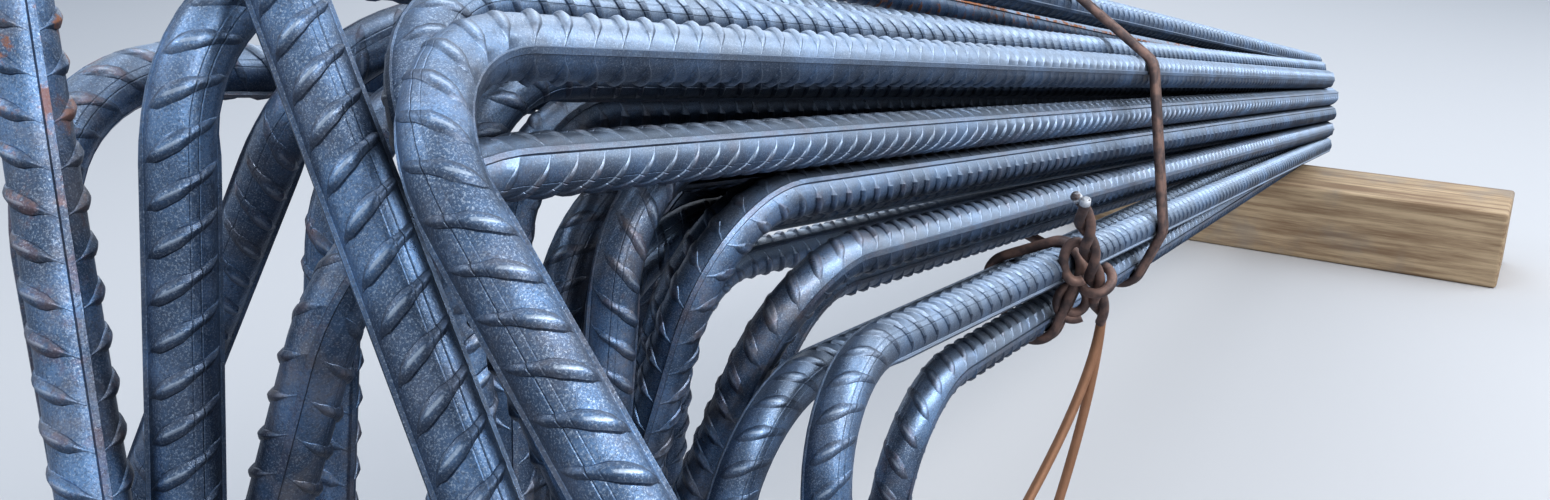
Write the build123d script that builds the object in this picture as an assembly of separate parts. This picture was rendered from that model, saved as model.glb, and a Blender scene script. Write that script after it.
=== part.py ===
from build123d import *
import math
import os

# Bundle of bent reinforcing bars, tied with doubled wire, its far end on a timber bearer.
# Millimetres. X runs along the long legs towards their far ends, and Z is up.

# Bar. Its ribs are too fine for this file, so that it is a plain bar of many flat sides.
bar_diameter = 16.0
bar_sides = 12
bend_radius = 42.0
short_leg = 200.0
long_reach = 1170.0

# Bundle. At their far ends the bars lie in close columns, each half a bar off the next.
# Towards the bends they spread out, and each long leg runs straight from one place to the other.
bar_gap = 0.6
fall_to_far_end = 190.8
spread_sideways = 10.0

# Tie wire. One tie is round the whole bundle, and one round its three lowest bars.
wire_diameter = 4.4
wire_sides = 6
wire_gap = 0.3
main_tie_reach = 480.0
near_tie_reach = 325.0
near_tie_bars = ["bar_23", "bar_25", "bar_27"]

# Wire ends, twisted together where a tie is closed. Those of the near tie stand up in front of
# it, and their tails hang: towards the bends, into the bundle, and down.
twist_length = 80.0
twist_pitch = 36.0
twist_lean = 33.0
twist_foot = (12.0, -26.0)
hidden_twist_length = 30.0
tail_falls = [(62.0, 18.0, 92.0), (30.0, 9.0, 104.0)]

# Timber bearer under the far ends
bearer_length = 400.0
bearer_width = 90.0
bearer_end_gap = 40.0
bearer_seat_gap = 0.3
bearer_chamfer = 3.0

pitch = bar_diameter + bar_gap
column_step = pitch * math.sqrt(3) / 2
bar_radius = bar_diameter / 2
wire_radius = wire_diameter / 2
twist_radius = wire_diameter - wire_gap / 2
tie_reach = bar_radius + wire_gap + wire_radius
twist_reach = tie_reach + wire_radius + wire_gap + twist_radius

# For each bar: column and row at the far end, place across and up near the bends, set-back of
# the bend, then the lean of the short leg in degrees and the extra reach of the far end. All but
# the lean are in bar pitches.
bars = {
    "bar_03": (2, 3.5, 3.4, 5.8, -0.6, 35, 3.0),
    "bar_04": (1, 3.0, 1.4, 3.6, -0.3, 38, 0),
    "bar_05": (3, 3.0, 4.7, 3.1, 1.8, -28, 0.6),
    "bar_06": (0, 2.5, -0.3, 3.1, -1.8, 43, -2.4),
    "bar_07": (2, 2.5, 3.3, 4.0, -1.5, 4, 0),
    "bar_08": (4, 2.5, 6.5, 5.6, -1.8, 20, 1.2),
    "bar_09": (1, 2.0, 1.9, 2.6, 1.5, 9, 0),
    "bar_10": (3, 2.0, 4.2, 2.1, 1.5, 0, 0.6),
    "bar_11": (0, 1.5, 0.6, 1.3, -1.2, -18, 0),
    "bar_12": (2, 1.5, 3.1, 1.8, 3.9, 5, 1.2),
    "bar_13": (4, 1.5, 6.9, 2.1, -1.8, 19, 0),
    "bar_14": (1, 1.0, 1.8, 1.1, 5.4, 0, 0.6),
    "bar_15": (3, 1.0, 4.5, 1.1, 4.8, 0, 0),
    "bar_16": (0, 0.5, 0.7, 0.2, 6.6, -14, 0),
    "bar_17": (2, 0.5, 3.0, 0.5, 5.4, -3, 0.6),
    "bar_18": (4, 0.5, 6.1, 0.2, 5.4, 3, 0.6),
    "bar_19": (1, 0.0, 1.7, 0.0, 7.5, -13, 0),
    "bar_20": (3, 0.0, 4.3, -0.4, 9.3, 3, 1.2),
    "bar_21": (0, -0.5, -0.1, -1.1, 8.1, -20, 0),
    "bar_22": (2, -0.5, 3.1, -0.7, 7.2, -20, 0),
    "bar_23": (1, -1.0, -0.5, -3.5, 6.0, -6, 0.6),
    "bar_24": (3, -1.0, 4.8, -2.6, 10.8, -2, 0),
    "bar_25": (0, -1.5, -1.9, -2.5, 6.3, 9, 0),
    "bar_26": (2, -1.5, 1.7, -2.4, 10.8, -9, 1.2),
    "bar_27": (1, -2.0, -1.6, -4.4, 11.1, -5, 0),
}


def course(name):
    """Corner of the bent bar's middle line, and the ways that its long and short legs run."""
    column, row, across, up, set_back, lean, _ = bars[name]
    near = Vector(0, spread_sideways + across * pitch, up * pitch)
    far = Vector(long_reach, column * column_step, row * pitch - fall_to_far_end)
    along = (far - near).normalized()
    corner = near + along * (set_back * pitch / along.X)
    side = along.cross(Vector(0, 0, 1)).normalized()
    down = along.cross(side)
    if down.Z > 0:
        down = -down
    angle = math.radians(lean)
    return corner, along, down * math.cos(angle) + side * math.sin(angle)


def far_end(name):
    corner, along, _ = course(name)
    return corner + along * ((long_reach + bars[name][6] * pitch - corner.X) / along.X)


def bent_bar(name):
    corner, along, hang = course(name)
    start = corner + along * bend_radius
    finish = corner + hang * bend_radius
    middle = corner + (along + hang) * (bend_radius * (1 - math.sqrt(0.5)))
    path = Wire([
        Edge.make_line(far_end(name), start),
        Edge.make_three_point_arc(start, middle, finish),
        Edge.make_line(finish, corner + hang * short_leg),
    ])
    section = Plane(origin=far_end(name), x_dir=hang, z_dir=-along) * RegularPolygon(bar_radius, bar_sides)
    return sweep(section, path=path)


def foot_height(name):
    """Lowest point of the cut end of the short leg."""
    corner, _, hang = course(name)
    return (corner + hang * short_leg).Z - bar_radius * math.sqrt(1 - hang.Z ** 2)


def underside(name, x):
    corner, along, _ = course(name)
    middle = corner + along * ((x - corner.X) / along.X)
    return middle.Z - bar_radius / math.sqrt(1 - along.Z ** 2)


def tie_plane(reach, names):
    """Plane square to the long legs of the named bars, with its X axis level across them."""
    ways = [course(name)[1] for name in names]
    way = sum(ways, Vector(0, 0, 0)).normalized()
    middles = [crossing(name, Vector(reach, 0, 0), Vector(1, 0, 0)) for name in names]
    centre = sum(middles, Vector(0, 0, 0)) * (1 / len(middles))
    return Plane(origin=centre, x_dir=Vector(0, 1, 0), z_dir=way)


def crossing(name, point, normal):
    corner, along, _ = course(name)
    return corner + along * ((point - corner).dot(normal) / along.dot(normal))


def hull(points):
    """Outermost points, anticlockwise."""
    points = sorted(points)

    def half(run):
        out = []
        for p in run:
            while len(out) > 1 and turn(out[-2], out[-1], p) <= 0:
                out.pop()
            out.append(p)
        return out[:-1]

    return half(points) + half(points[::-1])


def turn(a, b, c):
    return (b[0] - a[0]) * (c[1] - a[1]) - (b[1] - a[1]) * (c[0] - a[0])


def girth(corners, reach):
    """Closed line round circles on the given corners, at the given reach from each middle."""
    edges = []
    count = len(corners)
    ways = []
    for i in range(count):
        a, b = corners[i], corners[(i + 1) % count]
        ways.append(math.atan2(b[1] - a[1], b[0] - a[0]) - math.pi / 2)
    for i in range(count):
        a, b = corners[i], corners[(i + 1) % count]
        before, after = ways[i - 1], ways[i]
        after_turn = before + (after - before) % (2 * math.pi)
        spots = [before, (before + after_turn) / 2, after_turn]
        arc = [(a[0] + reach * math.cos(w), a[1] + reach * math.sin(w), 0) for w in spots]
        edges.append(Edge.make_three_point_arc(*arc))
        out = (reach * math.cos(after), reach * math.sin(after))
        edges.append(Edge.make_line((a[0] + out[0], a[1] + out[1], 0), (b[0] + out[0], b[1] + out[1], 0)))
    return Wire(edges)


def wire_section(line):
    start = Plane(origin=line.position_at(0), z_dir=line.tangent_at(0))
    return start * RegularPolygon(wire_radius, wire_sides)


def places(plane, names):
    """Where the middle lines of the named bars cross the plane, on its own axes."""
    crossings = [plane.to_local_coords(crossing(n, plane.origin, plane.z_dir)) for n in names]
    return [(p.X, p.Y) for p in crossings]


def strands(plane, names):
    """Wire laid twice round the named bars."""
    line = girth(hull(places(plane, names)), tie_reach)
    strand = sweep(wire_section(line), path=line)
    half_step = wire_radius + wire_gap / 2
    return [plane * (Pos(0, 0, offset) * strand) for offset in (-half_step, half_step)]


def twist(foot, length, lean):
    """Two wires twisted about each other. They rise from the foot, leaning towards the bends."""
    middle = twist_radius - wire_radius
    half = [(twist_radius, 0), (middle, wire_radius), (-middle, wire_radius)]
    pair = Polyline(half + [(-x, -y) for x, y in half], close=True)
    turned = Solid.extrude_linear_with_rotation(
        make_face(pair).face(), (0, 0, 0), (0, 0, length), 360 * length / twist_pitch
    )
    return Pos(*foot) * (Rot(0, -lean, 0) * turned)


def tail(foot, fall):
    """Cut end of a wire, bending down from the foot of its twist."""
    back, inwards, down = fall
    middle = foot + Vector(-back * 0.25, inwards * 0.3, -down * 0.45)
    line = Wire([Edge.make_spline([foot, middle, foot + Vector(-back, inwards, -down)])])
    return sweep(wire_section(line), path=line)


def main_tie():
    """Tie round the whole bundle, closed by a twist on its hidden side."""
    names = list(bars)
    plane = tie_plane(main_tie_reach, names)
    outer = max(places(plane, names))
    foot = (plane * Pos(outer[0] + twist_reach, outer[1] - hidden_twist_length / 4, 0)).position
    return Compound(strands(plane, names) + [twist(foot, hidden_twist_length, 0)])


def near_tie():
    """Tie round the three lowest bars, closed in front of them."""
    plane = tie_plane(near_tie_reach, near_tie_bars)
    outer = min(places(plane, near_tie_bars))
    front = (plane * Pos(outer[0] - twist_reach, outer[1], 0)).position
    foot = front + Vector(twist_foot[0], 0, twist_foot[1])
    tails = [tail(foot, fall) for fall in tail_falls]
    return Compound(strands(plane, near_tie_bars) + [twist(foot, twist_length, twist_lean)] + tails)


def bearer():
    """Sawn timber laid across under the far ends, with its foot level with the lowest leg."""
    far_edge = long_reach - bearer_end_gap
    top = min(underside(name, far_edge) for name in bars) - bearer_seat_gap
    floor = min(foot_height(name) for name in bars)
    middle = sum((crossing(n, Vector(far_edge, 0, 0), Vector(1, 0, 0)) for n in bars), Vector(0, 0, 0)) * (1 / len(bars))
    block = Box(bearer_width, bearer_length, top - floor)
    block = chamfer(block.edges().filter_by(Axis.Y), bearer_chamfer)
    return Pos(far_edge - bearer_width / 2, middle.Y, (top + floor) / 2) * block


pieces = {name: bent_bar(name) for name in bars}
pieces["main_tie"] = main_tie()
pieces["near_tie"] = near_tie()
pieces["bearer"] = bearer()

# The row's origin is the middle of the base.
box = Compound([shape for shape in pieces.values()]).bounding_box()
to_base = Pos(-(box.min.X + box.max.X) / 2, -(box.min.Y + box.max.Y) / 2, -box.min.Z)

os.makedirs("parts", exist_ok=True)
for name, shape in pieces.items():
    export_step(to_base * shape, "parts/" + name + ".step")
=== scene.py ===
import math
import bpy
import numpy as np
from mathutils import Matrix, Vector

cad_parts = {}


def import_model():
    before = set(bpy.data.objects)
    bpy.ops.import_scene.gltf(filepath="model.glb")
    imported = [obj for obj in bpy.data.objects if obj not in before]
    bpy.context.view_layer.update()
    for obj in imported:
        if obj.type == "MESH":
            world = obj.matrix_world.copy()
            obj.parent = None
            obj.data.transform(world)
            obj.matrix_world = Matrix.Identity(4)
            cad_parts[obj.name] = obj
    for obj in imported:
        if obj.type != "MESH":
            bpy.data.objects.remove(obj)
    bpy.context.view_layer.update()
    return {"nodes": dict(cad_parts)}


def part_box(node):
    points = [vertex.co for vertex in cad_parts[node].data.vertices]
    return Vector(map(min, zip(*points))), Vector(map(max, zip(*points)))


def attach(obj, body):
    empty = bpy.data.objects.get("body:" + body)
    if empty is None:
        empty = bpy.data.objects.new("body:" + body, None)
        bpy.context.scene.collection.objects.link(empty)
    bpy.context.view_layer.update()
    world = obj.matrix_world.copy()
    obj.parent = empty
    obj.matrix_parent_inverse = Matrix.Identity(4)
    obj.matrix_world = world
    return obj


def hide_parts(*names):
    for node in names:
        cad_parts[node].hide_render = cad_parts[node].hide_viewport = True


# Looks of a bundle of bent reinforcing bars: rolled ribs, mill scale, dust and rust, tie wire
# and a timber bearer. Metres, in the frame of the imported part.

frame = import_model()

# Bar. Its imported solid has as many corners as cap_corners says.
bar_radius = 0.008
bend_radius = 0.042
cap_corners = 12

# Rolled relief. A long rib's crown and foot are half widths in radians round the bar, and its
# mark is its value in the rib attribute, below those whose tops are painted pale as wear and
# painted highlight. Each bar's crescent ribs start rib_phase_step of a step further on than those
# of the bar before. Their slope and the angle from which an edge is shaded as sharp are in degrees.
core_radius = 0.0074
long_rib_height = 0.0009
long_rib_crown = 0.095
long_rib_foot = 0.13
long_rib_mark = 0.8
rib_height = 0.0012
rib_half_width = 0.0024
rib_step = 0.0103
rib_slope = 60
rib_phase_step = 0.37
sharp_angle = 26

# Crescent rib on its way round the bar, from 0 on the first long rib to 1 on the second: where
# its body starts, is full, starts to fall and ends, and the same for the thin tail beyond it.
# Where the rib runs out, its width is thinnest_share of the full one.
rib_body = (0.1, 0.3, 0.45, 0.7)
rib_tail = (0.45, 0.6, 0.72, 0.9)
rib_tail_share = 0.55
thinnest_share = 0.12

# Share of the relief that the bending pressed away, and how much more of it inside the bend
pressed_share = 0.5
pressed_inside = 0.25

# Section across a crescent rib: place in half widths and share of its height. It is fine up to
# fine_reach from the foot and plain beyond it. The bars nearest to the camera have more points
# round them.
fine_rib = [
    (-1, 0), (-0.85, 0.42), (-0.45, 0.78), (-0.1, 1),
    (0.1, 1), (0.45, 0.78), (0.85, 0.42), (1, 0),
]
plain_rib = [(-1, 0), (0, 1), (1, 0)]
fine_reach = 0.5
near_side_count = 12
far_side_count = 8
near_names = ["bar_03", "bar_06", "bar_07", "bar_08", "bar_11"]

# Tie wire
wire_radius = 0.0022
wire_gap = 0.0003
main_tie_at = -0.091
near_tie_at = -0.246
near_tie_bars = ["bar_23", "bar_25", "bar_27"]
twist_length = 0.080
twist_pitch = 0.036
twist_lean = 33
twist_foot = (0.012, -0.026)
hidden_twist_length = 0.030
tail_falls = [(0.062, 0.018, 0.092), (0.030, 0.009, 0.104)]

tie_reach = bar_radius + wire_gap + wire_radius
twist_reach = wire_radius + wire_gap + 2 * wire_radius

# Middle of a twisted wire from the twist's own middle, and radius of a wire's bright cut end,
# both in wire radii
twist_spread = 1.02
bright_end = 1.04

# Fineness of the wires: sides, the step round a corner in radians, the step along a twist, and
# points on a curl and on a tail. No wire starts along off_axis.
wire_sides = 12
corner_step = 0.15
twist_step = 0.0012
curl_points = 48
tail_points = 40
off_axis = (0.3, 0.2, 0.9)

# Curls at the near tie's knot: place up the twist and to the right of it, half width and half
# height, and the angles where the curl starts and ends. It starts at first_turn of its size.
eye_curl = (0.042, -0.006, 0.007, 0.011, (60, 300))
small_curl = (0.013, -0.011, 0.008, 0.009, (-120, 300))
wrap_curl = (0.027, 0.0, 0.0085, 0.0075, (0, 330))
first_turn = 0.6

# Worn edges of the bearer
bearer_bevel = 0.003

# Camera, from the photograph's angle of view and the bars' narrowing with distance
camera_at = (-0.771057, -0.216771, 0.392651)
camera_yaw = 31.33
camera_pitch = -18.45
camera_lens = 30.19

# Colours
slate = (0.07, 0.115, 0.195)
blue = (0.17, 0.31, 0.54)
pale_blue = (0.62, 0.72, 0.84)
# Dark of the pits, also used as painted shade on the ribs' flanks
pit_and_painted_shade_dark = (0.04, 0.05, 0.075)
# Painted shade under the bars and deep between them
painted_shade_dark = (0.014, 0.018, 0.027)
dust_brown = (0.34, 0.27, 0.22)
rust_orange = (0.42, 0.15, 0.05)
cut_grey = (0.27, 0.29, 0.32)
dark_wire = (0.09, 0.06, 0.055)
brown_wire = (0.26, 0.15, 0.115)
rusty_wire = (0.45, 0.21, 0.1)
bright_wire = (0.75, 0.76, 0.78)
timber_dark = (0.3, 0.18, 0.095)
timber_light = (0.68, 0.48, 0.28)
timber_grey = (0.3, 0.26, 0.22)
floor_lit = (0.3, 0.3, 0.31)
floor_seen = (0.66, 0.63, 0.6)
sky_below = (0.03, 0.04, 0.06)
sky_low = (0.75, 0.85, 1.0)
sky_high = (0.55, 0.72, 1.0)
sky_seen = (0.78, 0.85, 0.94)

# Fine grooves along each ribbed side of a bar: place on the way round and strength
grooves = ((0.55, 0.4), (0.64, 0.8))

# Rays that find how deep a spot lies between the bars, where shade is painted. More of them make the
# render slow.
crevice_samples = 4

# Light of the sky, and the lamps: name, place, what it points at, its sizes, watts and colour
sky_strength = 0.7
lamps = [
    ("overhead", (0.3, 0.2, 1.9), (0.1, 0, 0.2), (1.8, 1.2), 11, (0.86, 0.92, 1.0)),
    ("beyond the far ends", (2.4, 1.5, 1.3), (0.1, 0, 0.3), (2.2, 1.2), 17, (0.85, 0.92, 1.0)),
    ("along the right", (1.0, -1.5, 1.5), (0.3, 0, 0.3), (1.8, 1.0), 23, (0.86, 0.92, 1.0)),
    ("from the left", (-1.2, 0.9, 1.5), (-0.4, 0, 0.3), (0.6, 0.6), 5, (0.85, 0.92, 1.0)),
    ("from the right", (-0.6, -1.2, 1.2), (-0.2, 0, 0.2), (0.7, 0.7), 12, (0.95, 0.97, 1.0)),
]

# For each bar: the side that its first long rib is on, in degrees round the bar from the outside
# of the bend, then dust and rust from 0 to 1.
bars = {
    "bar_03": (-32, 0.1, 0.0),
    "bar_04": (0, 0.1, 0.0),
    "bar_05": (138, 0.2, 0.1),
    "bar_06": (133, 0.2, 0.0),
    "bar_07": (-28, 0.1, 0.0),
    "bar_08": (82, 0.3, 1.0),
    "bar_09": (10, 0.4, 0.1),
    "bar_10": (100, 0.4, 0.2),
    "bar_11": (-144, 0.5, 0.1),
    "bar_12": (60, 0.5, 0.1),
    "bar_13": (-20, 0.2, 0.2),
    "bar_14": (150, 0.5, 0.1),
    "bar_15": (30, 0.5, 0.2),
    "bar_16": (31, 0.3, 0.1),
    "bar_17": (-60, 0.4, 0.1),
    "bar_18": (100, 0.3, 0.1),
    "bar_19": (70, 0.3, 0.1),
    "bar_20": (0, 0.3, 0.1),
    "bar_21": (64, 0.5, 0.1),
    "bar_22": (128, 0.2, 0.0),
    "bar_23": (-51, 0.1, 0.0),
    "bar_24": (40, 0.2, 0.1),
    "bar_25": (-46, 0.1, 0.0),
    "bar_26": (90, 0.2, 0.1),
    "bar_27": (81, 0.2, 0.1),
}


# Courses of the bars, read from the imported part

def node_points(name):
    mesh = frame["nodes"][name].data
    points = np.zeros(len(mesh.vertices) * 3)
    mesh.vertices.foreach_get("co", points)
    return np.unique(np.round(points.reshape(-1, 3), 6), axis=0)


def cut_end(points, way):
    """Middle of the cut end that lies furthest along the way, and the line square to it."""
    way = np.array(way, float)
    corners = points[np.argsort(points @ way)[-cap_corners:]]
    middle = corners.mean(axis=0)
    normal = np.linalg.svd(corners - middle)[2][2]
    return middle, normal * np.sign(normal @ way)


class Course:
    """Middle line of a bent bar from its foot, up the short leg, round the bend and along."""

    def __init__(self, name):
        points = node_points(name)
        self.far, self.along = cut_end(points, (1, 0, 0))
        self.foot, self.hang = cut_end(points, (-1, 0, -1))
        across = self.foot - self.far
        self.corner = self.far + self.along * (across @ self.along)
        self.side = np.cross(self.hang, self.along)
        self.leg = np.linalg.norm(self.corner - self.foot) - bend_radius
        self.turn = bend_radius * math.pi / 2
        self.length = self.leg + self.turn + np.linalg.norm(self.far - self.corner) - bend_radius

    def at(self, s):
        """Points on the middle line, and the outward way there."""
        s = np.asarray(s)[..., None]
        angle = np.clip((s - self.leg) / bend_radius, 0, math.pi / 2)
        out = -np.cos(angle) * self.along - np.sin(angle) * self.hang
        hub = self.corner + bend_radius * (self.along + self.hang)
        up = np.minimum(s - self.leg, 0)
        on = np.maximum(s - self.leg - self.turn, 0)
        return hub + bend_radius * out - up * self.hang + on * self.along, out

    def crossing(self, point, normal):
        reach = (point - self.corner) @ normal / (self.along @ normal)
        return self.corner + self.along * reach


courses = {name: Course(name) for name in bars}


# Meshes

def smooth_step(x, low, high):
    t = np.clip((x - low) / (high - low), 0, 1)
    return t * t * (3 - 2 * t)


def rise_and_fall(x, start, full, fall, end):
    return smooth_step(x, start, full) * (1 - smooth_step(x, fall, end))


def mesh_object(name, points, faces, values=None):
    mesh = bpy.data.meshes.new(name)
    mesh.from_pydata(points.tolist(), [], faces)
    mesh.polygons.foreach_set("use_smooth", [True] * len(faces))
    for key, value in (values or {}).items():
        layer = mesh.attributes.new(key, "FLOAT", "POINT")
        layer.data.foreach_set("value", np.asarray(value, np.float32).ravel())
    mesh.update()
    thing = bpy.data.objects.new(name, mesh)
    bpy.context.scene.collection.objects.link(thing)
    return thing


def round_steps(count):
    """Angles round a bar: four to each long rib, and count on each ribbed side between them."""
    side = np.linspace(long_rib_foot, math.pi - long_rib_foot, count + 2)
    crown = [-long_rib_crown, long_rib_crown]
    first = np.concatenate([crown, side])
    return np.concatenate([first, first + math.pi])


def rib_strength(around):
    """How much of a crescent rib there is: its body on one side, and a thin tail beyond it."""
    thin_tail = rib_tail_share * rise_and_fall(around, *rib_tail)
    return np.maximum(rise_and_fall(around, *rib_body), thin_tail)


def rib_rows(length, phase, shear, strength):
    """Rows of points across the crescent ribs: place along the bar, height and share of a rib."""
    height = rib_height * np.sqrt(strength)
    width = rib_half_width * (thinnest_share + (1 - thinnest_share) * strength)
    rows, heights, shares = [], [], []
    last = math.ceil(length / rib_step) + 1
    for k in range(-1, last + 1):
        middle = (k + phase) * rib_step
        near = middle < fine_reach
        for across, profile in fine_rib if near else plain_rib:
            rows.append(middle + across * width + shear)
            heights.append(profile * height)
            shares.append(profile * strength)
        if near:
            rows.append(middle + 0.5 * rib_step + shear)
            heights.append(0 * height)
            shares.append(0 * strength)
    return np.array(rows), np.array(heights), np.array(shares)


def pressed(course, s, angle):
    """Share of the relief that is left where the bar was bent, least inside the bend."""
    inner = smooth_step(-np.cos(angle), 0.3, 0.7)
    start, end = course.leg, course.leg + course.turn
    in_bend = rise_and_fall(s, start - 0.004, start + 0.006, end - 0.006, end + 0.004)
    return 1 - in_bend * (pressed_share + pressed_inside * inner)


def side_faces(s, length):
    """Quads between the rows, without those that lie wholly past the cut ends."""
    total, count = s.shape
    index = np.arange(total * count).reshape(total, count)
    following = np.roll(index, -1, axis=1)
    quads = np.stack([index[:-1], following[:-1], following[1:], index[1:]], -1).reshape(-1, 4)
    flat_s = s.ravel()
    low = (flat_s[quads] <= 0).all(axis=1)
    high = (flat_s[quads] >= length).all(axis=1)
    return quads[~(low | high)].tolist()


def cut_faces(points):
    """Rings of the two cut ends with their middles, and the triangles that fill them."""
    total, count = points.shape[:2]
    rings, faces = [], []
    for row in (0, total - 1):
        ring = points[row]
        base = total * count + len(rings) * (count + 1)
        rings.append(np.vstack([ring, ring.mean(axis=0)]))
        for j in range(count):
            pair = [base + j, base + (j + 1) % count]
            faces.append((pair[::-1] if row == 0 else pair) + [base + count])
    return rings, faces


def ribbed_bar(name, side_count):
    """Bar with two long ribs and two rows of crescent ribs, whose hands are opposite."""
    course = courses[name]
    turn = math.radians(bars[name][0])
    phase = list(bars).index(name) * rib_phase_step % 1
    angle = round_steps(side_count)
    # 0 on the first long rib, 1 on the second
    around = np.arccos(np.cos(angle)) / math.pi
    shear = core_radius * (math.pi / 2) / math.tan(math.radians(rib_slope)) * (2 * around - 1)
    s, rise, rib = rib_rows(course.length, phase, shear, rib_strength(around))

    crown = np.abs(np.sin(angle)) < math.sin((long_rib_crown + long_rib_foot) / 2)
    long_rib = np.where(crown, long_rib_height, 0)
    beyond = (s < 0) | (s > course.length)
    rise = np.where(beyond, 0, np.maximum(rise, long_rib) * pressed(course, s, angle + turn))
    centre, out = course.at(np.clip(s, 0, course.length))
    way = np.cos(angle + turn)[None, :, None] * out + np.sin(angle + turn)[None, :, None] * course.side
    points = centre + way * (core_radius + rise)[..., None]

    rings, end_faces = cut_faces(points)
    ring_points = sum(len(ring) for ring in rings)

    def with_ends(value, end_value=0):
        return np.concatenate([value.ravel(), np.full(ring_points, end_value)])

    values = {
        "reach": with_ends(s),
        "around": with_ends(np.broadcast_to(around, s.shape)),
        "rib": with_ends(np.where(beyond, 0, np.maximum(rib, long_rib_mark * crown))),
        "cut": with_ends(np.zeros_like(s), 1),
    }
    all_points = np.vstack([points.reshape(-1, 3)] + rings)
    bar = mesh_object(name + "_ribbed", all_points, side_faces(s, course.length) + end_faces, values)
    bar.data.validate()
    bar.data.set_sharp_from_angle(angle=math.radians(sharp_angle))
    return bar


def tube(name, points, radius, closed=False):
    """Round wire along the given points."""
    points = np.asarray(points, float)
    count = len(points)
    if closed:
        ways = np.roll(points, -1, axis=0) - np.roll(points, 1, axis=0)
    else:
        ways = np.gradient(points, axis=0)
    ways /= np.linalg.norm(ways, axis=1)[:, None]
    normal = np.cross(ways[0], off_axis)
    rings = []
    for point, way in zip(points, ways):
        normal = normal - way * (normal @ way)
        normal /= np.linalg.norm(normal)
        other = np.cross(way, normal)
        angle = np.arange(wire_sides) / wire_sides * 2 * math.pi
        rings.append(point + radius * (np.cos(angle)[:, None] * normal + np.sin(angle)[:, None] * other))
    all_points = np.vstack(rings)
    faces = []
    for i in range(count if closed else count - 1):
        a, b = i * wire_sides, (i + 1) % count * wire_sides
        for j in range(wire_sides):
            k = (j + 1) % wire_sides
            faces.append([a + j, a + k, b + k, b + j])
    if not closed:
        faces.append(list(range(wire_sides))[::-1])
        faces.append([(count - 1) * wire_sides + j for j in range(wire_sides)])
    return mesh_object(name, all_points, faces)


def joined(name, things):
    """One object out of several meshes, each with its mark: 0 old, 1 fresh, -1 bright cut end."""
    points, faces, marks = [], [], []
    start = 0
    for thing, mark in things:
        mesh = thing.data
        points += [v.co[:] for v in mesh.vertices]
        faces += [[start + i for i in p.vertices] for p in mesh.polygons]
        marks += [mark] * len(mesh.vertices)
        start += len(mesh.vertices)
        bpy.data.objects.remove(thing)
    return mesh_object(name, np.array(points), faces, {"fresh": marks})


# Ties

def tie_axes(at, names):
    """Middle of a tie and its axes: across the bars, up, and along them."""
    way = sum(courses[n].along for n in names)
    way = way / np.linalg.norm(way)
    middles = [courses[n].crossing(np.array([at, 0, 0]), np.array([1.0, 0, 0])) for n in names]
    middle = np.mean(middles, axis=0)
    across = np.array([0, 1.0, 0])
    across = across - way * (across @ way)
    across /= np.linalg.norm(across)
    return middle, across, np.cross(way, across), way


def hull(points):
    """Outermost points, anticlockwise."""
    points = sorted(points)

    def half(run):
        out = []
        for p in run:
            while len(out) > 1 and turn_of(out[-2], out[-1], p) <= 0:
                out.pop()
            out.append(p)
        return out[:-1]

    return half(points) + half(points[::-1])


def turn_of(a, b, c):
    return (b[0] - a[0]) * (c[1] - a[1]) - (b[1] - a[1]) * (c[0] - a[0])


def girth(corners, reach):
    """Points on the closed line round circles on the given corners."""
    line = []
    count = len(corners)
    ways = []
    for i in range(count):
        a, b = corners[i], corners[(i + 1) % count]
        ways.append(math.atan2(b[1] - a[1], b[0] - a[0]) - math.pi / 2)
    for i in range(count):
        start, finish = ways[i - 1], ways[i - 1] + (ways[i] - ways[i - 1]) % (2 * math.pi)
        for angle in np.linspace(start, finish, max(2, int((finish - start) / corner_step))):
            line.append((corners[i][0] + reach * math.cos(angle), corners[i][1] + reach * math.sin(angle)))
    return line


def tie_places(at, names):
    """Where the middle lines of the bars cross the tie, across and up from its middle."""
    middle, across, up, way = tie_axes(at, names)
    crossings = [courses[n].crossing(middle, way) - middle for n in names]
    return [(float(c @ across), float(c @ up)) for c in crossings]


def strands(at, names):
    """Wire laid twice round the bars."""
    middle, across, up, way = tie_axes(at, names)
    line = girth(hull(tie_places(at, names)), tie_reach)
    out = []
    for side in (-1, 1):
        step = side * (wire_radius + wire_gap / 2)
        points = [middle + x * across + y * up + step * way for x, y in line]
        out.append((tube("strand", points, wire_radius, closed=True), 0))
    return out


def leaning(lean):
    return np.array([-math.sin(math.radians(lean)), 0, math.cos(math.radians(lean))])


def twist(foot, length, lean):
    """Two wires twisted about each other, rising from the foot and leaning towards the bends.

    A short tube at the end of each, a little thicker than the wire, is its bright cut end.
    """
    rise = leaning(lean)
    level = np.array([rise[2], 0, -rise[0]])
    other = np.cross(rise, level)
    out = []
    for side in (0, math.pi):
        points = []
        for t in np.linspace(0, 1, int(length / twist_step)):
            angle = side + 2 * math.pi * t * length / twist_pitch
            swing = wire_radius * twist_spread * (math.cos(angle) * level + math.sin(angle) * other)
            points.append(np.asarray(foot) + rise * t * length + swing)
        out.append((tube("twisted", points, wire_radius), 0))
        out.append((tube("cut end", points[-3:], wire_radius * bright_end), -1))
    return out


def curl(middle, across, up, wide, tall, turns):
    """Wire that turns in the plane of across and up, and grows as it goes."""
    start, finish = math.radians(turns[0]), math.radians(turns[1])
    points = []
    for angle in np.linspace(start, finish, curl_points):
        grown = first_turn + (1 - first_turn) * (angle - start) / (finish - start)
        points.append(middle + grown * (wide * math.cos(angle) * across + tall * math.sin(angle) * up))
    return [(tube("curl", points, wire_radius), 0)]


def tail(foot, fall):
    """Cut end of a wire, bending down through a middle point from the foot of its twist."""
    back, inwards, down = fall
    foot = np.asarray(foot)
    middle = foot + np.array([-back * 0.25, inwards * 0.3, -down * 0.45])
    end = foot + np.array([-back, inwards, -down])
    points = []
    for t in np.linspace(0, 1, tail_points):
        a, b, c = (1 - t) * (1 - 2 * t), 4 * t * (1 - t), t * (2 * t - 1)
        points.append(a * foot + b * middle + c * end)
    return [(tube("tail", points, wire_radius), 1)]


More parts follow.
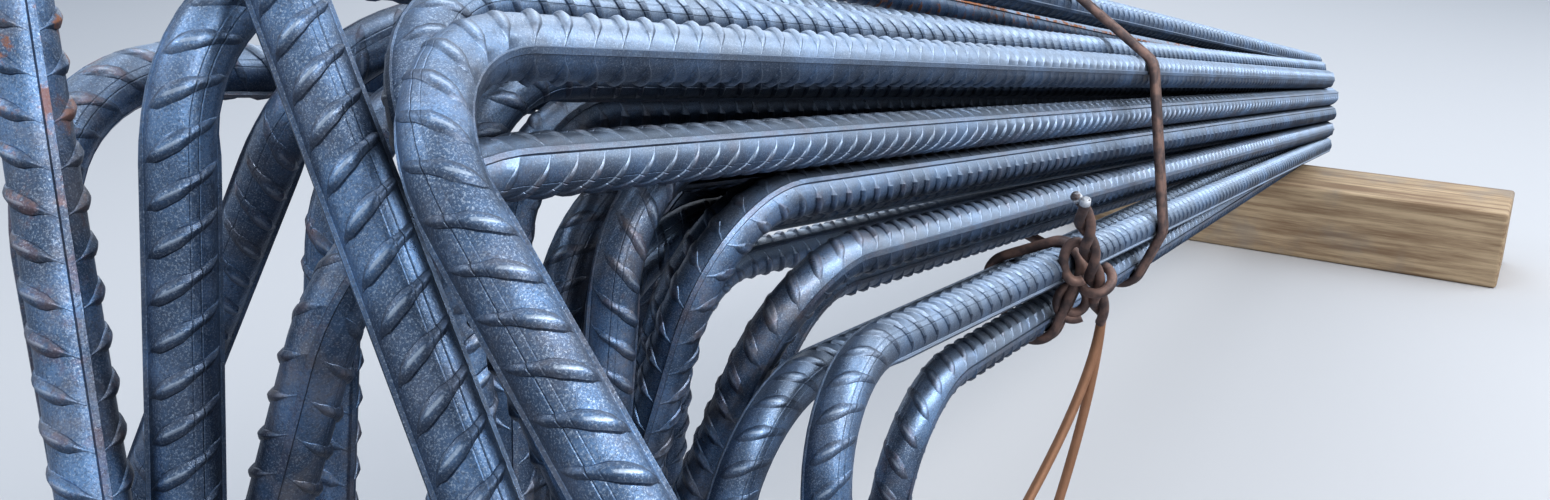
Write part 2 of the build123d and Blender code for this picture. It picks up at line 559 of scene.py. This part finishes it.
def knot(foot):
    """Eye and small curl, flat to the camera, and a wrap round the foot of the near tie's twist."""
    rise = leaning(twist_lean)
    right, upright = np.array([0.52, -0.854, 0]), np.array([0, 0, 1.0])
    level = np.array([rise[2], 0.3, -rise[0]])
    out = []
    for up_twist, aside, *form in (eye_curl, small_curl):
        out += curl(foot + up_twist * rise + aside * right, right, upright, *form)
    up_twist, aside, *form = wrap_curl
    return out + curl(foot + up_twist * rise + aside * right, level, np.cross(rise, level), *form)


def main_tie():
    """Tie round the whole bundle, closed by a twist on its hidden side."""
    names = list(bars)
    middle, across, up, way = tie_axes(main_tie_at, names)
    outer = max(tie_places(main_tie_at, names))
    reach = outer[0] + tie_reach + twist_reach
    foot = middle + reach * across + (outer[1] - hidden_twist_length / 4) * up
    wires = strands(main_tie_at, names) + twist(foot, hidden_twist_length, 0)
    return joined("main_tie_wire", wires)


def near_tie():
    """Tie round the three lowest bars, closed in front of them."""
    middle, across, up, way = tie_axes(near_tie_at, near_tie_bars)
    outer = min(tie_places(near_tie_at, near_tie_bars))
    front = middle + (outer[0] - tie_reach - twist_reach) * across + outer[1] * up
    foot = front + np.array([twist_foot[0], 0, twist_foot[1]])
    wires = strands(near_tie_at, near_tie_bars) + twist(foot, twist_length, twist_lean)
    for fall in tail_falls:
        wires += tail(foot, fall)
    return joined("near_tie_wire", wires + knot(foot))


def timber():
    """Sawn block with slightly worn edges."""
    low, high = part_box("bearer")
    low, high = np.array(low), np.array(high)
    bpy.ops.mesh.primitive_cube_add(size=1, location=(low + high) / 2)
    block = bpy.context.object
    block.name = "bearer_timber"
    block.dimensions = high - low
    bpy.ops.object.transform_apply(location=False, scale=True)
    bevel = block.modifiers.new("worn edges", "BEVEL")
    bevel.width = bearer_bevel
    bevel.segments = 3
    return block


# Materials

class Graph:
    """Short names for building a material's nodes."""

    def __init__(self, name):
        self.material = bpy.data.materials.new(name)
        self.material.use_nodes = True
        self.nodes = self.material.node_tree.nodes
        self.links = self.material.node_tree.links
        self.nodes.clear()
        self.out = self.nodes.new("ShaderNodeOutputMaterial")
        self.shader = self.nodes.new("ShaderNodeBsdfPrincipled")
        self.links.new(self.shader.outputs[0], self.out.inputs["Surface"])

    def put(self, socket, value):
        if isinstance(value, bpy.types.NodeSocket):
            self.links.new(value, socket)
        elif isinstance(value, tuple) and len(value) == 3 and socket.type == "RGBA":
            socket.default_value = (*value, 1)
        else:
            socket.default_value = value

    def attribute(self, name):
        node = self.nodes.new("ShaderNodeAttribute")
        node.attribute_name = name
        return node.outputs["Fac"]

    def math(self, operation, a, b=0.0):
        node = self.nodes.new("ShaderNodeMath")
        node.operation = operation
        self.put(node.inputs[0], a)
        self.put(node.inputs[1], b)
        return node.outputs[0]

    def times(self, a, b):
        return self.math("MULTIPLY", a, b)

    def place(self, scale=(1, 1, 1)):
        coordinates = self.nodes.new("ShaderNodeTexCoord")
        mapping = self.nodes.new("ShaderNodeMapping")
        self.put(mapping.inputs["Vector"], coordinates.outputs["Object"])
        mapping.inputs["Scale"].default_value = scale
        return mapping.outputs[0]

    def noise(self, scale, detail=4.0, roughness=0.6, place=None):
        node = self.nodes.new("ShaderNodeTexNoise")
        self.put(node.inputs["Vector"], place or self.place())
        node.inputs["Scale"].default_value = scale
        node.inputs["Detail"].default_value = detail
        node.inputs["Roughness"].default_value = roughness
        return node.outputs["Fac"]

    def between(self, value, low, high, out_low=0.0, out_high=1.0):
        node = self.nodes.new("ShaderNodeMapRange")
        node.interpolation_type = "SMOOTHSTEP"
        self.put(node.inputs["Value"], value)
        node.inputs["From Min"].default_value = low
        node.inputs["From Max"].default_value = high
        node.inputs["To Min"].default_value = out_low
        node.inputs["To Max"].default_value = out_high
        return node.outputs[0]

    def mix(self, factor, a, b):
        """Colour between a and b. The node's colour sockets are inputs 6 and 7 and output 2."""
        node = self.nodes.new("ShaderNodeMix")
        node.data_type = "RGBA"
        self.put(node.inputs["Factor"], factor)
        self.put(node.inputs[6], a)
        self.put(node.inputs[7], b)
        return node.outputs[2]

    def bump(self, height, strength, distance, normal=None):
        node = self.nodes.new("ShaderNodeBump")
        node.inputs["Strength"].default_value = strength
        node.inputs["Distance"].default_value = distance
        self.put(node.inputs["Height"], height)
        if normal:
            self.put(node.inputs["Normal"], normal)
        return node.outputs[0]

    def crevice(self, distance):
        """Mask for painted shade: 0 deep between the bars, 1 in the open."""
        node = self.nodes.new("ShaderNodeAmbientOcclusion")
        node.inputs["Distance"].default_value = distance
        node.samples = crevice_samples
        return self.between(node.outputs["AO"], 0.1, 0.75)

    def upward(self, low, high, out_low, out_high):
        """From the lower side of the bar to the upper side."""
        geometry = self.nodes.new("ShaderNodeNewGeometry")
        split = self.nodes.new("ShaderNodeSeparateXYZ")
        self.links.new(geometry.outputs["Normal"], split.inputs[0])
        return self.between(split.outputs["Z"], low, high, out_low, out_high)

    def set(self, **values):
        for key, value in values.items():
            self.put(self.shader.inputs[key.replace("_", " ")], value)
        return self.material


def mill_scale(g):
    """Patches of slate and blue with pale specks and dark pits."""
    colour = g.mix(g.between(g.noise(38, 3), 0.38, 0.72), slate, blue)
    specks = g.times(g.between(g.noise(2200, 3, 0.75), 0.5, 0.66), 0.5)
    colour = g.mix(specks, colour, pale_blue)
    pits = g.times(g.between(g.noise(1300, 3, 0.75), 0.5, 0.62), 0.45)
    return g.mix(pits, colour, pit_and_painted_shade_dark)


def relief_shade(g, colour, rib, reach):
    """Painted light and shade: painted sky light on the upper side, wear and a painted highlight on the
    rib tops, and painted shade on the ribs' flanks.
    """
    # Painted sky light: paler on the upper side of the long legs.
    painted_sky_light = g.times(g.upward(-0.4, 0.6, 0.0, 0.45), g.between(reach, 0.16, 0.26))
    colour = g.mix(painted_sky_light, colour, pale_blue)
    # Painted shade on the ribs' flanks, weaker far from the foot.
    flank = g.times(g.between(rib, 0.02, 0.25), g.between(rib, 0.6, 0.9, 1.0, 0.0))
    flank = g.times(flank, g.between(reach, 0.2, 0.45, 0.5, 0.15))
    colour = g.mix(flank, colour, pit_and_painted_shade_dark)
    # Wear and a painted highlight: pale rib tops, fainter far from the foot.
    worn = g.times(g.between(rib, 0.9, 1.0), g.between(reach, 0.2, 0.4, 0.45, 0.05))
    return g.mix(worn, colour, pale_blue)


def dusty_share(g, reach, dust):
    """Patches of dust, most of all on the short leg."""
    patches = g.times(g.between(g.noise(60, 5, 0.7), 0.42, 0.7), dust)
    return g.times(patches, g.between(reach, 0.15, 0.3, 1.0, 0.3))


def rusty_share(g, rib, reach, rust):
    """Patches of rust, most of all on the ribs and above the foot."""
    patches = g.math("ADD", g.noise(110, 6, 0.75), g.times(rib, 0.12))
    patches = g.times(g.between(patches, 0.55, 0.66), rust)
    return g.times(patches, g.between(reach, 0.09, 0.17, 0.15, 1.0))


def rolled_surface(g, around):
    """Fine grain, and grooves along the bar."""
    normal = g.bump(g.noise(1500, 4, 0.7), 0.4, 0.0003)
    for place, strength in grooves:
        line = g.math("ABSOLUTE", g.math("SUBTRACT", around, place))
        normal = g.bump(g.between(line, 0.0, 0.012), strength, 0.0004, normal)
    return normal


def bar_steel(name, dust, rust):
    g = Graph(name)
    rib, reach = g.attribute("rib"), g.attribute("reach")
    dirty = dusty_share(g, reach, dust)
    rusty = rusty_share(g, rib, reach, rust)
    colour = relief_shade(g, mill_scale(g), rib, reach)
    colour = g.mix(dirty, colour, dust_brown)
    colour = g.mix(rusty, colour, rust_orange)
    colour = g.mix(g.attribute("cut"), colour, cut_grey)
    # Painted shade: darker towards the lower side of each bar.
    colour = g.mix(g.upward(-0.7, 0.5, 0.45, 1.0), painted_shade_dark, colour)
    # Painted shade deep between the bars
    colour = g.mix(g.crevice(0.03), painted_shade_dark, colour)
    rough = g.between(g.noise(300, 3), 0.3, 0.7, 0.27, 0.42)
    rough = g.math("ADD", rough, g.between(reach, 0.2, 0.4, 0.0, 0.12))
    rough = g.math("MAXIMUM", rough, g.times(dirty, 0.75))
    rough = g.math("MAXIMUM", rough, g.times(rusty, 0.85))
    metal = g.math("SUBTRACT", 0.8, g.times(g.math("MAXIMUM", dirty, rusty), 0.5))
    normal = rolled_surface(g, g.attribute("around"))
    return g.set(Base_Color=colour, Roughness=rough, Metallic=metal, Normal=normal)


def wire_steel():
    """Brown wire, rustier where it is marked as fresh, and bright at its cut ends."""
    g = Graph("tie wire")
    fresh = g.attribute("fresh")
    colour = g.mix(g.between(g.noise(120, 4), 0.4, 0.65), dark_wire, brown_wire)
    colour = g.mix(g.times(g.between(fresh, 0.0, 1.0), 0.75), colour, rusty_wire)
    colour = g.mix(g.between(fresh, -1.0, 0.0, 1.0, 0.0), colour, bright_wire)
    normal = g.bump(g.noise(900, 3), 0.3, 0.0004)
    return g.set(Base_Color=colour, Roughness=0.55, Metallic=0.4, Normal=normal)


def sawn_timber():
    """Grain along the block, which lies along Y, with grey patches."""
    g = Graph("sawn timber")
    grain = g.noise(160, 6, 0.65, g.place((1, 0.06, 1)))
    colour = g.mix(g.between(grain, 0.35, 0.7), timber_dark, timber_light)
    grey = g.times(g.between(g.noise(14, 4), 0.5, 0.7), 0.5)
    colour = g.mix(grey, colour, timber_grey)
    normal = g.bump(grain, 0.6, 0.0012)
    return g.set(Base_Color=colour, Roughness=0.8, Normal=normal)


# Object

for name, (_, dust, rust) in bars.items():
    bar = ribbed_bar(name, near_side_count if name in near_names else far_side_count)
    bar.data.materials.append(bar_steel(name + " steel", dust, rust))
    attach(bar, "root")
    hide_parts(name)

wire = wire_steel()
for tie, node in ((main_tie(), "main_tie"), (near_tie(), "near_tie")):
    tie.data.materials.append(wire)
    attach(tie, "root")
    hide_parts(node)

block = timber()
block.data.materials.append(sawn_timber())
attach(block, "root")
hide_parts("bearer")


# Floor, light and camera

def floor():
    """Level floor, paler to the camera than in the light that it throws back."""
    bpy.ops.mesh.primitive_plane_add(size=40, location=(0, 0, 0))
    plane = bpy.context.object
    plane.name = "floor"
    g = Graph("floor")
    path = g.nodes.new("ShaderNodeLightPath")
    colour = g.mix(path.outputs["Is Camera Ray"], floor_lit, floor_seen)
    plane.data.materials.append(g.set(Base_Color=colour, Roughness=0.8))


def soft_box(name, place, aim, size, power, colour):
    light = bpy.data.lights.new(name, "AREA")
    light.shape = "RECTANGLE"
    light.size, light.size_y = size
    light.energy = power
    light.color = colour
    lamp = bpy.data.objects.new(name, light)
    lamp.location = place
    way = Vector(aim) - Vector(place)
    lamp.rotation_euler = way.to_track_quat("-Z", "Y").to_euler()
    bpy.context.scene.collection.objects.link(lamp)


def sky_ramp(nodes, links):
    """Colour of the light from the sky: dark below, palest low down and bluer above."""
    coordinates = nodes.new("ShaderNodeTexCoord")
    split = nodes.new("ShaderNodeSeparateXYZ")
    links.new(coordinates.outputs["Generated"], split.inputs[0])
    ramp = nodes.new("ShaderNodeValToRGB")
    elements = ramp.color_ramp.elements
    elements[0].position = 0.0
    elements[0].color = (*sky_below, 1)
    elements[1].position = 1.0
    elements[1].color = (*sky_high, 1)
    elements.new(0.2).color = (*sky_low, 1)
    links.new(split.outputs["Z"], ramp.inputs[0])
    return ramp.outputs[0]


def seen_rays(nodes, links):
    """1 for what the camera sees, also in a reflection or through a piece, or else 0."""
    path = nodes.new("ShaderNodeLightPath")
    kinds = path.outputs["Is Camera Ray"]
    for kind in ("Is Glossy Ray", "Is Transmission Ray"):
        either = nodes.new("ShaderNodeMath")
        either.operation = "MAXIMUM"
        links.new(kinds, either.inputs[0])
        links.new(path.outputs[kind], either.inputs[1])
        kinds = either.outputs[0]
    return kinds


def world():
    """Sky that lights the bundle, and one plain colour where it is seen."""
    scene = bpy.context.scene
    scene.world = bpy.data.worlds.new("studio")
    scene.world.use_nodes = True
    nodes, links = scene.world.node_tree.nodes, scene.world.node_tree.links
    nodes.clear()
    out = nodes.new("ShaderNodeOutputWorld")
    lit = nodes.new("ShaderNodeBackground")
    links.new(sky_ramp(nodes, links), lit.inputs["Color"])
    lit.inputs["Strength"].default_value = sky_strength
    seen = nodes.new("ShaderNodeBackground")
    seen.inputs["Color"].default_value = (*sky_seen, 1)
    mix = nodes.new("ShaderNodeMixShader")
    links.new(seen_rays(nodes, links), mix.inputs[0])
    links.new(lit.outputs[0], mix.inputs[1])
    links.new(seen.outputs[0], mix.inputs[2])
    links.new(mix.outputs[0], out.inputs["Surface"])


def camera():
    lens = bpy.data.cameras.new("camera")
    lens.lens = camera_lens
    lens.sensor_width = 36
    lens.sensor_fit = "HORIZONTAL"
    lens.clip_start = 0.01
    thing = bpy.data.objects.new("camera", lens)
    thing.location = camera_at
    yaw, pitch = math.radians(camera_yaw), math.radians(camera_pitch)
    way = Vector((math.cos(pitch) * math.cos(yaw), math.cos(pitch) * math.sin(yaw), math.sin(pitch)))
    thing.rotation_euler = way.to_track_quat("-Z", "Y").to_euler()
    bpy.context.scene.collection.objects.link(thing)
    bpy.context.scene.camera = thing


floor()
for lamp in lamps:
    soft_box(*lamp)
world()
camera()
bpy.context.scene.view_settings.view_transform = "Standard"
